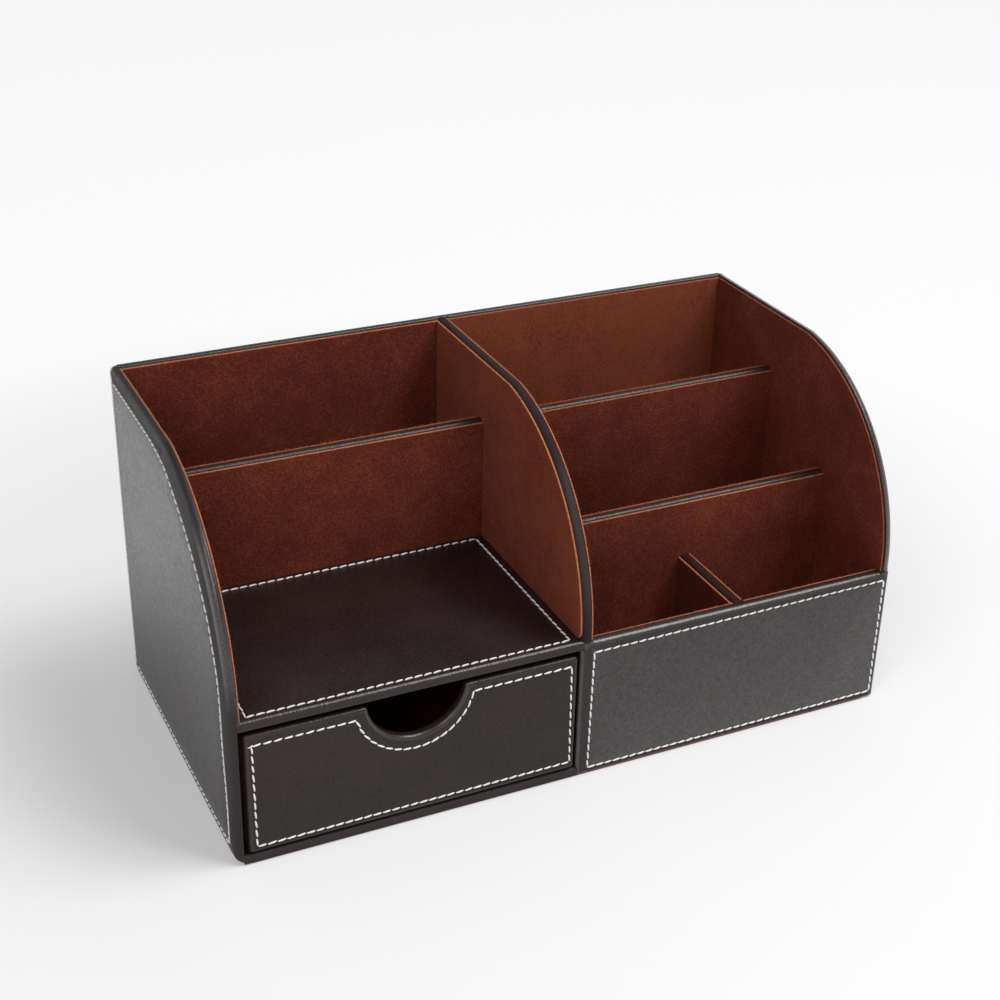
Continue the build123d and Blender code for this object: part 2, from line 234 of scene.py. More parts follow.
def makePlain(d):
    f = Finish(d["name"])
    noises = {size: f.speckle(*d[size]) for size in ("broad", "small")}
    tone = noises["broad"] * d["weights"][0] + noises["small"] * d["weights"][1]
    colour = f.mix(f.remap(tone, *d["share"]), d["dark"], d["light"])
    size, depth, strength = d["bump"]
    return f.close({"Base Color": colour, "Roughness": f.remap(noises["small"], 0.3, 0.7, *d["roughness"]),
                    "Specular IOR Level": d["specular"], "Normal": f.bump(noises[size], depth, strength)})


finish = {"leather": makeLeather(), "suede": makeSuede()}
finish.update((slot, makePlain(values)) for slot, values in plainFinishes.items())
for node in frame["record"]["subparts"]:
    data = frame["nodes"][node["node"]].data
    data.materials.clear()
    data.materials.append(finish[node["material_slot"]])
print("finishes made:", ", ".join(finish))


def linked(name, data):
    made = bpy.data.objects.new(name, data)
    bpy.context.collection.objects.link(made)
    return made


# mesh making: points carry an edge mark, 1 on a worn crest (lighter, partly a painted highlight) or a cut suede
# edge, below zero on a matt band (darker, painted shade), and the sheet's sheen (on suede, painted light and
# shade)
class Shape:
    def __init__(self):
        self.points, self.faces, self.marks = [], [], []

    def add(self, point, mark=0.0):
        self.points.append(point)
        self.marks.append(mark)
        return len(self.points) - 1

    def grid(self, rows, around=True):
        ids = [[self.add(p, m) for p, m in row] for row in rows]
        width = len(ids[0])
        for a, b in zip(ids, ids[1:]):
            for j in range(width if around else width - 1):
                k = (j + 1) % width
                self.faces.append((a[j], a[k], b[k], b[j]))

    def cap(self, ring):
        self.faces.append(tuple(self.add(p, m) for p, m in ring))

    def tube(self, rows, around=True, ends=(0, -1)):  # a grid closed at its ends
        self.grid(rows, around)
        for end in ends:
            self.cap(rows[end])
        return self

    def loose(self, name, unit=1.0, sheen=0.0):  # the plain mesh, joined up and facing outwards
        data = bpy.data.meshes.new(name)
        data.from_pydata([(x * unit, y * unit, z * unit) for x, y, z in self.points], [], self.faces)
        polish = [sheen(p, m) if callable(sheen) else sheen for p, m in zip(self.points, self.marks)]
        for label, values in (("edge", self.marks), ("sheen", polish)):
            data.attributes.new(label, "FLOAT", "POINT").data.foreach_set("value", values)
        work = bmesh.new()
        work.from_mesh(data)
        bmesh.ops.remove_doubles(work, verts=work.verts, dist=0.004 * unit)
        bmesh.ops.dissolve_degenerate(work, edges=work.edges, dist=0.002 * unit)
        bmesh.ops.recalc_face_normals(work, faces=work.faces)
        for face in work.faces:
            face.smooth = True
        work.to_mesh(data)
        work.free()
        return linked(name, data)

    def piece(self, node, sheen, kind="leather"):
        made = self.loose(pieceName(node, kind), mm, sheen)
        made.data.set_sharp_from_angle(angle=radians(48))
        made.data.materials.append(finish[kind])
        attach(made, bodyOf(node))
        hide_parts(node)


# outlines are lists of stations, and each station gives its point for an inset
def bend(cu, cv, radius, start, stop, count, su=0, sv=0):  # round a corner
    def at(angle):
        def point(inset):
            reach, over = max(radius - inset, tiny), max(inset - radius, 0)
            return (cu + reach * cos(angle) + over * su, cv + reach * sin(angle) + over * sv)
        return point
    return [at(radians(blend(start, stop, i / (count - 1)))) for i in range(count)]


def corner(u, v, radius, su, sv, count):  # the signs point into the panel
    start = {(1, 1): 270, (1, -1): 180, (-1, -1): 90, (-1, 1): 0}[su, sv]
    return bend(u + su * radius, v + sv * radius, radius, start, start - 90, count, su, sv)


def run(first, last, count):  # on the straight between two others
    def at(t):
        return lambda inset: tuple(blend(a, b, t) for a, b in zip(first(inset), last(inset)))
    return [at((i + 1) / (count + 1)) for i in range(count)]


def upright(u, way, heights):
    return [lambda inset, v=v: (u + way * inset, v) for v in heights]


def level(v, way, places):
    return [lambda inset, u=u: (u, v + way * inset) for u in places]


padding = {"rise": 0.26, "slope": 0.75, "curve": 1.4}


def puffed(inset, wide, puff):  # how far the padding under an edge lifts the leather
    t = inset / wide if wide else 1
    if t >= 1:
        return 0
    rise = min((1 - t) / padding["rise"], 1)
    outer = max(1 - t / (1 - padding["rise"]), 0) ** padding["curve"]
    return puff * rise * rise * (3 - 2 * rise) * (1 - padding["slope"] * outer)


def profile(across, down, end, fold, turn, wide=0.0, puff=0.0, matt=-0.9):
    fold = min(fold, max(end - down, 0))  # a leather edge from outer face to board: inset, depth, wear
    dullAndShaded = matt if puff else 0  # the folded band has lost its polish, and its colour is darkened as painted shade
    rows = [(across + max(wide - across, 0) * (1 - i / 8), 0, dullAndShaded) for i in range(8)]
    for i, a in enumerate(quarter(7)):
        wear = sin(2 * a) if i < 4 else 1 - 0.1 * (i - 3)
        rows.append((across * (1 - sin(a)), down * (1 - cos(a)), wear + dullAndShaded * (1 - wear) * (i < 4)))
    rows = [(inset, depth - puffed(inset, wide, puff), wear) for inset, depth, wear in rows]
    rows.append((0, (down + end - fold) / 2, 0.7))
    rows += [(fold * (1 - cos(a)), end - fold + fold * sin(a), 0.5) for a in quarter(5)]
    inner = max(end - leather, leather)
    return rows + [(turn, end, 0), (turn, inner, 0), (leather, inner, 0), (leather, leather, 0)]


def inside(polygon, points):  # which points lie in a polygon
    u, v = points[:, 0][:, None], points[:, 1][:, None]
    a = np.array(polygon)
    b = np.roll(a, -1, axis=0)
    crosses = (a[:, 1] > v) != (b[:, 1] > v)
    rise = np.where(b[:, 1] == a[:, 1], 1e-9, b[:, 1] - a[:, 1])
    return (crosses & (u < a[:, 0] + (v - a[:, 1]) * (b[:, 0] - a[:, 0]) / rise)).sum(axis=1) % 2 == 1


def away(paths, points):  # distance from each point to the nearest seam
    nearest = np.full(len(points), 1e9)
    for path in paths:
        a = np.array(path[:-1])
        step = np.array(path[1:]) - a
        size = (step ** 2).sum(axis=1)
        gap = points[:, None, :] - a[None]
        t = np.clip((gap * step).sum(axis=2) / size, 0, 1)
        nearest = np.minimum(nearest, np.sqrt(((gap - t[..., None] * step) ** 2).sum(axis=2)).min(axis=1))
    return nearest


def beside(path, offset):  # a seam moved sideways
    moved = []
    for i, (u, v) in enumerate(path):
        (au, av), (bu, bv) = path[max(i - 1, 0)], path[min(i + 1, len(path) - 1)]
        size = hypot(bu - au, bv - av)
        moved.append((u - (bv - av) / size * offset, v + (bu - au) / size * offset))
    return moved


sunken = {"half": 0.95, "deep": 0.22}  # the groove that stitches pull into the leather


def flatFace(shape, rim, place, seams=(), hole=None, depth=0.0, spacing=0, marks=None):
    points, links = [], []  # leather, grooved under its seams

    def line(path, closed):
        start = len(points)
        points.extend(Vector(p) for p in path)
        links.extend((start + i, start + i + 1) for i in range(len(path) - 1))
        if closed:
            links.append((start + len(path) - 1, start))

    line(rim, True)
    if hole:
        line(hole, True)
    for path, share in seams:
        for step in (-1, -0.5, 0, 0.5, 1):
            line(beside(path, step * share * sunken["half"]), False)
    if spacing:  # points over the open sheet, so that its polish can change from place to place
        (u0, v0), (u1, v1) = np.min(rim, axis=0), np.max(rim, axis=0)
        spots = np.array([(u, v) for u in np.arange(u0, u1, spacing) for v in np.arange(v0, v1, spacing)])
        clear = inside(rim, spots) & (away([path for path, share in seams] + [list(rim)], spots) > 2)
        points.extend(Vector(p) for p in spots[clear])
    corners, _, faces, *_ = delaunay_2d_cdt(points, links, [], 0, 1e-4)
    flat = np.array([(p.x, p.y) for p in corners])
    middles = np.array([flat[list(f)].mean(axis=0) for f in faces])
    keep = inside(rim, middles)
    if hole:
        keep &= ~inside(hole, middles)
    sink = np.zeros(len(flat))
    for path, share in seams:
        near = away([path], flat) / (sunken["half"] * share)
        sink = np.maximum(sink, sunken["deep"] * share * np.clip(1 - near ** 2, 0, 1) ** 1.5)
    tags = np.zeros(len(flat))
    if marks:  # the rim's marks reach in as far as the seam
        close = np.linalg.norm(flat[:, None] - np.array(rim)[None], axis=2).argmin(axis=1)
        tags = np.where(away([rim + rim[:1]], flat) < 1.0, np.array(marks)[close], 0)
    ids = [shape.add(place(u, v, depth + s), m) for (u, v), s, m in zip(flat, sink, tags.tolist())]
    shape.faces.extend(tuple(ids[i] for i in f) for f, k in zip(faces, keep) if k)


def smoothPath(points, step=1.2):  # a curve through seam points
    path = []
    for i in range(len(points) - 1):
        a, b = points[max(i - 1, 0)], points[i]
        c, d = points[i + 1], points[min(i + 2, len(points) - 1)]
        count = max(2, round(dist(b, c) / step))
        for t in (k / count for k in range(count)):
            path.append(tuple(0.5 * (2 * b[n] + (c[n] - a[n]) * t
                                     + (2 * a[n] - 5 * b[n] + 4 * c[n] - d[n]) * t ** 2
                                     + (3 * b[n] - a[n] - 3 * c[n] + d[n]) * t ** 3) for n in (0, 1)))
    return path + [tuple(points[-1])]


def straight(a, b, step=1.2):
    count = max(2, round(dist(a, b) / step))
    return [tuple(blend(a[n], b[n], i / count) for n in (0, 1)) for i in range(count + 1)]


def seamCorners(u, v, offsets):  # offsets from a panel's own corners, low left first and then round
    return [(u[i] + du, v[j] + dv) for (i, j), (du, dv) in zip(((0, 0), (1, 0), (1, 1), (0, 1)), offsets)]


def frameSeams(corners, share):  # a seam along each side of a frame
    return [(straight(a, b), share) for a, b in zip(corners, corners[1:] + corners[:1])]


stitch = {"pitch": 3.7, "length": 3.55, "thickness": 0.71, "slant": 6.5, "twist": 0.06, "vary": (0.93, 1.05),
          "seed": 4}
guides = {"carcass": [], "drawer": []}  # where thread runs: point, way out of the leather, length, width


def trimmed(path, cut):  # a seam without its ends
    kept = [p for p in path if dist(p, path[0]) > cut and dist(p, path[-1]) > cut]
    first, last = Vector(path[0]), Vector(path[-1])
    start = first + (Vector(kept[0]) - first).normalized() * cut
    stop = last + (Vector(kept[-1]) - last).normalized() * cut
    return [tuple(start)] + kept + [tuple(stop)]


def sew(body, seams, place, outward, long=lambda p: 1.0, wide=1.0):
    for path, share in seams:
        line = [place(u, v, sunken["deep"] * share) for u, v in trimmed(path, stitch["pitch"] / 2)]
        guides[body].append([(p, outward, long(p), wide) for p in line])


def wavy(u, v, seed, long, short):  # soft unevenness of a folded strip, 0 to 1
    broad = noise.noise(Vector((u / long, v / long, seed)))
    tight = noise.noise(Vector((u / short, v / short, seed + 9.5)))
    return clamp(0.5 + 0.45 * broad + 0.3 * tight)


# tall panels: the side covers, the middle wall's binding and their linings share one curved outline
tall = {"curveStart": 63.6, "curveRadius": 78.0, "kinkRadius": 14.0, "cornerRadius": 3.2, "turnIn": 10.0,
        "crestRounding": 2.1, "lowRounding": 0.6, "foldRounding": 0.8, "padHeight": 0.55, "padFade": 18,
        "kneeDent": 0.75, "kneeWidth": 3.2, "sheen": 0.95, "sheenLow": 0.38, "sheenRise": (12, 70),
        "mattFront": -0.8, "wornArc": (66, 128), "wornRise": 22, "wornFall": 14, "wornTop": 0.15,
        "lowPoints": (8, 5.2, 10), "waves": (14, 5), "padWaves": (18, 6), "padUneven": (0.7, 1.2)}
sideBox, rightBox, boardBox = span("left_side_cover"), span("right_side_cover"), span("left_side_board")
(frontOut, backOut), (panelLow, panelTop) = sideBox[1], sideBox[2]
frontTop, shelfTop = span("front_cover")[2][1], span("shelf_cover")[2][1]
bayBack = span("shelf_cover")[1][1]
backIn = span("back_board")[1][0]
curveY = frontOut + tall["curveRadius"]
kinkZ = panelTop - tall["kinkRadius"]
kinkRise = kinkZ - tall["curveStart"]
kinkY = curveY - sqrt((tall["curveRadius"] - tall["kinkRadius"]) ** 2 - kinkRise ** 2)
kinkAngle = degrees(atan2(kinkRise, kinkY - curveY))
kink = bend(kinkY, kinkZ, tall["kinkRadius"], kinkAngle, 90, 7)


def wornShare(z):  # along its arc the crest is rubbed and lighter, partly a painted highlight; at its foot and along the top it is matt and darkened as painted shade
    low, high = tall["wornArc"]
    return clamp((z - low) / tall["wornRise"]) * clamp((high - z) / tall["wornFall"], tall["wornTop"])


def crestStations(low, last):  # up the front, round the arc and along the top
    steps = sorted(z for z in (low, low + 2 * hair, shelfTop - hair, shelfTop + hair) if low <= z)
    arc = bend(curveY, tall["curveStart"], tall["curveRadius"], 180, kinkAngle, 60)
    end = level(panelTop, -1, [last])
    return upright(frontOut, 1, steps) + arc + kink + run(kink[-1], end[0], 26) + end


def sideStations(panel):
    c, t = tall["cornerRadius"], panel["toe"]
    toe = corner(frontOut, panelLow, t, 1, 1, 6)
    lower = upright(frontOut, 1, paces(*tall["lowPoints"]) + [frontTop - hair, frontTop + hair])
    crest = crestStations(shelfTop - hair, backOut - c - 0.02)
    shoulder = corner(backOut, panelTop, c, -1, -1, 8)
    heel = corner(backOut, panelLow, c, -1, 1, 6)
    rear = shoulder + run(shoulder[-1], heel[0], 24) + heel + run(heel[-1], toe[0], 24)
    kinds = ["front"] * len(toe + lower) + ["crest"] * len(crest) + ["back"] * len(rear)
    pads = [i / 6 for i in range(6)] + [1.0] * len(lower + crest) + panel["fades"]  # none at the back
    return toe + lower + crest + rear, kinds, pads + [0.0] * (len(kinds) - len(pads))


sideSeam = {"front": [(-61.0, 3.3), (-61.3, 19.0), (-60.6, 32.0), (-59.6, 45.0), (-59.3, 63.4), (-58.4, 72.3),
                      (-57.0, 77.3), (-54.6, 83.9), (-51.3, 91.6), (-46.2, 99.4), (-38.6, 108.0),
                      (-29.4, 116.0), (-19.5, 122.8), (-11.5, 127.4), (-3.6, 131.2), (9.9, 133.7),
                      (25.9, 134.1), (45.0, 134.1), (68.3, 133.9)],
            "low": [(-60.8, 3.3), (68.2, 3.3)], "rear": [(69.7, 3.6), (69.7, 137.0)], "pulls": (1.0, 0.6, 0.4),
            "lengths": (1.07, 0.90), "crowding": (60, 90), "width": 1.07, "widthElsewhere": 1.35, "clear": 1.2}


def padWidths(stations):  # from the crest to just short of the front seam
    insets = np.arange(3.0, 16.0, 0.25)
    path = smoothPath(sideSeam["front"])
    nearest = [away([path], np.array([station(i) for i in insets])).argmin() for station in stations]
    return np.convolve(np.pad(insets[nearest] - sideSeam["clear"], 4, "edge"), np.ones(9) / 9, "valid")


def stitchLength(p):  # stitches are longer towards the foot
    low, high = sideSeam["crowding"]
    return blend(*sideSeam["lengths"], clamp((p[2] - low) / (high - low)))


def sideSheen(p, mark):
    low, rise = tall["sheenRise"]
    return blend(tall["sheenLow"], tall["sheen"], clamp((p[2] - low) / rise))


centre = {"rounding": 1.85, "wobble": 0.14, "seed": 3.1, "wear": 0.6, "matt": -0.6, "sheen": -0.9}


def sideCover(node, outer, way, panel):
    thick = leather + boardBox[0][1] - boardBox[0][0]
    stations, kinds, pads = sideStations(panel)
    rings = []
    for station, kind, pad, reach in zip(stations, kinds, pads, padWidths(stations)):
        here = station(0)
        turned = kind == "crest" and here[1] > shelfTop
        across, down = panel["roll"]
        if kind == "back":
            across, down = (blend(tall["lowRounding"], size, pad) for size in panel["roll"])
        elif pad < 1:
            across = blend(tall["crestRounding"], across, pad)
        end, turn = (thick + leather, tall["turnIn"]) if turned else (thick, leather)
        soft = centre["wobble"] * wavy(*here, outer, *tall["waves"]) if turned else 0
        puff = pad * tall["padHeight"] * blend(*tall["padUneven"], wavy(*here, outer + 4, *tall["padWaves"]))
        fold = exp(-(dist(kink[0](0), here) / tall["kneeWidth"]) ** 2)  # a dent at the knee
        puff *= (1 - tall["kneeDent"] * fold) * clamp((backOut - here[0]) / tall["padFade"])
        section = profile(across, min(down, end - 0.25), end, tall["foldRounding"], turn,
                          blend(across, reach, pad), puff, panel["matt"])
        column = []
        for inset, depth, wear in section:
            if kind != "back" and way > 0:
                # away from the arc the crest is matt and darkened as painted shade
                wear = blend(tall["mattFront"], wear, wornShare(here[1]))
            y, z = station(inset + soft * max(wear, 0))
            if way < 0 and z < frontTop:  # the front cover's end lies over this stretch
                y = max(y, frontOut + leather)
            column.append(((outer + way * depth, y, z), wear))
        rings.append(column)
    rows = list(zip(*rings))
    shape = Shape().tube(rows, ends=[-1])
    place = lambda u, v, depth: (outer + way * depth, u, v)
    paths = smoothPath(sideSeam["front"]), straight(*sideSeam["low"]), straight(*sideSeam["rear"])
    seams = list(zip(paths, sideSeam["pulls"]))
    rim, marks = [(y, z) for (x, y, z), wear in rows[0]], [wear for point, wear in rows[0]]
    flatFace(shape, rim, place, seams, spacing=9, marks=marks)
    sew("carcass", seams[:1], place, (-way, 0, 0), stitchLength, sideSeam["width"])
    sew("carcass", seams[1:], place, (-way, 0, 0), wide=sideSeam["widthElsewhere"])
    shape.piece(node, sideSheen)


# matt: how far the padded band is dulled; it is also darkened as painted shade
leftPanel = {"toe": 3.2, "roll": (3.6, 2.1), "matt": -0.9, "fades": [1 - (i + 1) / 8 for i in range(8)]}
rightPanel = {"toe": 0.4, "roll": (2.4, 2.8), "matt": -0.1, "fades": [1, 1, 1, 1, 1, 0.8, 0.5, 0.2]}
sideCover("left_side_cover", sideBox[0][0], 1, leftPanel)
sideCover("right_side_cover", rightBox[0][1], -1, rightPanel)


def ridge(low, high, rounding, leg):  # a strip folded over a board: inset from the crest, place across, wear
    curve = [(rounding * (1 - sin(a)), rounding * (1 - cos(a)), sin(a)) for a in quarter(8)]
    rows = [(leg, low, 0), (leg * 0.5, low, 0)] + [(inset, low + w, wear) for inset, w, wear in curve]
    rows += [(inset, high - w, wear) for inset, w, wear in reversed(curve)]
    return rows + [(leg * 0.5, high, 0), (leg, high, 0), (leg, high - leather, 0), (leather, high - leather, 0),
                   (leather, low + leather, 0), (leg, low + leather, 0)]


def centreBinding():
    low, high = span("centre_binding")[0]
    rows = []
    for station in crestStations(frontTop, backIn):
        here = station(0)
        soft = centre["wobble"] * wavy(*here, centre["seed"], *tall["waves"])
        row = []
        for inset, x, wear in ridge(low, high, centre["rounding"], tall["turnIn"]):
            y, z = station(inset + soft * wear)
            if x < low + leather + 0.01 and z < shelfTop:  # the shelf's end fills this corner
                z = shelfTop
            # below the arc the binding is matt and darkened as painted shade; along the arc its crest is
            # lighter, partly a painted highlight
            row.append(((x, y, z), blend(centre["matt"], wear * centre["wear"], wornShare(here[1]))))
        rows.append(row)
    Shape().tube(rows).piece("centre_binding", centre["sheen"])


centreBinding()
print("tall panels covered")


# strips that run straight: dividers' bindings, back, base front, shelf
binding = {"rounding": 1.85, "wobble": 0.16, "waves": (16, 4.5), "lean": 0.1, "leanWaves": (22, 8), "step": 2.6,
           "wear": 0.8, "sheen": -0.15, "lapLift": 0.5, "lap": ((0.02, 1.0), (1.1, 1.0), (1.8, 0.7))}


def dividerBinding(node, along):
    d, box = binding, span(node)
    a, b = (0, 1) if along == "x" else (1, 0)
    top = box[2][1]
    count = round((box[a][1] - box[a][0]) / d["step"])
    seed = box[1][0] * 0.37 + top
    rows = []
    for i in range(count + 1):
        u = blend(*box[a], i / count)
        soft = d["wobble"] * wavy(u, seed, seed, *d["waves"])
        lean = d["lean"] * (wavy(u, seed, seed + 31, *d["leanWaves"]) - 0.5)
        lap = d["lapLift"] * max(1 - i / 2, 0) if along == "y" else 0
        row = []
        for inset, across, wear in ridge(*box[b], d["rounding"], top - box[2][0]):
            w, z = across + lean * wear, top - inset - (soft - lap) * wear
            row.append(((u, w, z) if along == "x" else (w, u, z), wear * d["wear"]))
        rows.append(row)
    if along == "y":  # its front end is lapped over the front panel's edge
        for ahead, lift in d["lap"]:
            high = top + d["lapLift"] * lift
            rows.insert(0, [((w, box[1][0] - ahead, high - inset * 0.5), wear * d["wear"])
                            for inset, w, wear in ridge(*box[0], d["rounding"], leather * 1.5)])
    Shape().tube(rows).piece(node, d["sheen"])


for name, along in (("pen", "x"), ("rear", "x"), ("middle", "x"), ("small", "y")):
    dividerBinding(name + "_divider_binding", along)


backPanel = {"rounding": 1.9, "fold": 0.75, "wobble": 0.12, "waves": (2.0, 7.7, 18, 5), "step": 3.4,
             "wear": 0.8, "sheen": 0.4}


def backCover():
    d = backPanel
    (left, right), (low, outer), (bottom, top) = span("back_cover")
    thick, step, r = outer - low, d["step"], d["rounding"]
    pockets = [span("back_left_lining")[0], span("back_right_lining")[0]]
    places = [left, right] + [edge + side for pocket in pockets for edge in pocket for side in (-hair, hair)]
    places += [left + step * i for i in range(1, int((right - left) / step))]
    rows = []
    for x in sorted(places):
        turned = any(a < x < b for a, b in pockets)
        soft = d["wobble"] * wavy(x, *d["waves"])
        end, turn = (thick, tall["turnIn"]) if turned else (thick - leather, leather)
        row = [((x, outer, bottom), 0), ((x, outer, (bottom + top) / 2), 0)]
        row += [((x, outer - depth, top - inset - soft * wear), wear * d["wear"])
                for inset, depth, wear in profile(r, r, end, d["fold"], turn)]
        rows.append(row + [((x, outer - leather, bottom), 0)])
    Shape().tube(rows).piece("back_cover", d["sheen"])


backCover()


def strip(section, ends, d):  # a section drawn along x, with soft unevenness
    rows = []
    for i in range(d["steps"] + 1):
        x = blend(*ends, i / d["steps"])
        soft = d["wobble"] * wavy(x, *d["waves"])
        rows.append([((x, y + soft * wear * d["sag"], z - soft * wear), wear * d["wear"])
                     for y, z, wear in section])
    return rows


baseFront = {"rounding": 1.9, "steps": 45, "wobble": 0.14, "waves": (1.0, 17.3, 15, 5), "sag": 1.0, "wear": 0.7,
             "sheen": -0.7}


def baseFrontCover():
    ends, (front, back), (low, high) = span("base_front_cover")
    r, inner = baseFront["rounding"], front + leather
    section = [(front, low, 0)]
    section += [(front + r * (1 - cos(a)), high - r * (1 - sin(a)), sin(2 * a)) for a in quarter(8)]
    section += [(back, high, 0), (back, high - leather, 0), (inner, high - leather, 0), (inner, low, 0)]
    Shape().tube(strip(section, ends, baseFront)).piece("base_front_cover", baseFront["sheen"])


baseFrontCover()

shelf = {"rounding": 1.9, "fold": 0.8, "steps": 47, "wobble": 0.18, "waves": (5.0, 11.9, 20, 6), "sag": 0.6,
         "wear": 0.8, "seam": ((4.1, 3.45), (-4.65, 3.45), (-4.65, -3.0), (6.3, -3.0)),
         "sheen": 0.12, "sheenFront": -0.55, "sheenDepth": 1.0}


def shelfCover():  # stitched top, rolled front edge
    ends, (front, back), (low, top) = span("shelf_cover")
    r, f, inner, turned = shelf["rounding"], shelf["fold"], front + leather, front + tall["turnIn"]
    section = [(front + r * (1 - sin(a)), top - r * (1 - cos(a)), sin(2 * a)) for a in quarter(8)]
    section += [(front + f * (1 - cos(a)), low + f * (1 - sin(a)), 0.2) for a in quarter(5)]
    section += [(turned, low, 0), (turned, low + leather, 0), (inner, low + leather, 0),
                (inner, top - leather, 0), (back, top - leather, 0), (back, top, 0)]
    rows = strip(section, ends, shelf)
    shape = Shape().tube(rows, around=False)
    rim = [row[0][0][:2] for row in rows] + [(row[0][0][0], back) for row in reversed(rows)]
    seams = frameSeams(seamCorners(ends, (front, back), shelf["seam"]), 1.0)
    place = lambda u, v, depth: (u, v, top - depth)
    flatFace(shape, rim, place, seams)
    sew("carcass", seams, place, (0, 0, 1))
    sheen = lambda p, mark: shelf["sheen"] if p[2] > top - shelf["sheenDepth"] else shelf["sheenFront"]
    shape.piece("shelf_cover", sheen)


shelfCover()


# low front panel: one sheet over the board, the middle wall's end and the right panel's edge
frontPanel = {"edges": {"low": (0.9, 0.6), "bay": (1.7, 1.7), "end": (0.4, 0.4), "side": (1.3, 0.65),
                        "roll": (2.0, 2.0)}, "fold": 0.9, "bayFold": 0.3, "corner": 0.6,
              "bayPoints": (7, 3.6, 14), "pocketPoints": (5.5, 3.0, 43), "sidePoints": (56, -4, 14),
              "lowPoints": (136, -4, 34), "padWidth": 3.5, "padHeight": 0.42, "padFade": 8, "wobble": 0.2,
              "waves": (4.0, 23.3, 24, 7), "wear": 0.8, "sheen": 0.75, "short": 0.15, "pull": 0.9,
              "seam": ((3.75, 2.4), (-2.1, 2.8), (-2.1, -3.8), (4.45, -4.9)),
              "dulled": {"bay": 4.1, "low": 1.3}, "dulledLift": 0.03}


def frontCover():
    d = frontPanel
    (left, _), (outer, inner), (low, top) = span("front_cover")
    right = rightBox[0][1] - d["short"]
    pocket = span("front_lining")[0]
    base, over = span("base_front_cover"), span("shelf_cover")
    foot, bayLow, neck, bayTop = base[0][1], base[2][1], over[0][1], over[2][0]
    thick, c = span("front_board")[1][1] + leather - outer, d["corner"]
    bayHeights = [bayLow + hair] + paces(*d["bayPoints"]) + [bayTop - hair]
    pocketPlaces = [pocket[0] + hair] + paces(*d["pocketPoints"]) + [pocket[1] - hair]
    outline = [("low", corner(foot, low, c, 1, 1, 4)), ("low", upright(foot, 1, [bayLow - hair])),
               ("bay", upright(left, 1, bayHeights)), ("end", upright(neck, 1, (bayTop + hair, top - c))),
               ("end", level(top, -1, (neck + c, pocket[0] - hair))), ("roll", level(top, -1, pocketPlaces)),
               ("end", level(top, -1, (pocket[1] + hair, right - 2 * c))),
               ("side", corner(right, top, c, -1, -1, 4)),
               ("side", upright(right, -1, paces(*d["sidePoints"]))),
               ("side", corner(right, low, c, -1, 1, 4)),
               ("low", level(low, 1, paces(*d["lowPoints"])))]
    ends = {"bay": (inner - outer, d["bayFold"], leather), "roll": (thick, d["fold"], tall["turnIn"])}
    kinds = {edge: size + ends.get(edge, (leather, 0, leather)) for edge, size in d["edges"].items()}
    rings = []
    for edge, station in ((edge, station) for edge, stations in outline for station in stations):
        x = station(0)[0]
        rolled = edge == "roll"
        soft = d["wobble"] * wavy(x, *d["waves"]) if rolled else 0
        pad = clamp(min(x - neck, right - x) / d["padFade"]) if rolled else 0
        wide, puff = blend(kinds[edge][0], d["padWidth"], pad), pad * d["padHeight"]
        # these edges take the matt band, darkened as painted shade
        if edge in d["dulled"]:
            wide, puff = d["dulled"][edge], d["dulledLift"]
        column = []
        for inset, depth, wear in profile(*kinds[edge], wide, puff):
            u, v = station(inset)
            column.append(((u, outer + depth, v - soft * max(wear, 0)), wear * d["wear"]))
        rings.append(column)
    rows = list(zip(*rings))
    shape = Shape().tube(rows, ends=[-1])
    place = lambda u, v, depth: (u, outer + depth, v)
    seams = frameSeams(seamCorners((neck, right), (low, top), d["seam"]), d["pull"])
    rim, marks = [(x, z) for (x, y, z), wear in rows[0]], [wear for point, wear in rows[0]]
    flatFace(shape, rim, place, seams, marks=marks)
    sew("carcass", seams, place, (0, -1, 0))
    shape.piece("front_cover", d["sheen"])


frontCover()
print("carcass leather done")


# drawer front: wrapped all round, with a half-round finger notch
drawerFront = {"rounding": 1.9, "fold": 0.7, "corner": 1.5, "mouth": 1.6, "notchRadius": 19.5,
               "notchDepth": 17.3, "wear": 0.8, "seamReach": 23.6, "seamShift": (-0.78, -1.07),
               "seam": ((3.0, 2.9), (-2.3, 3.55), (-3.0, -3.72), (2.75, -4.3)),
               "sheen": -0.7, "sheenCrest": 0.3, "sheenEdge": -0.25, "crestMark": 0.35}


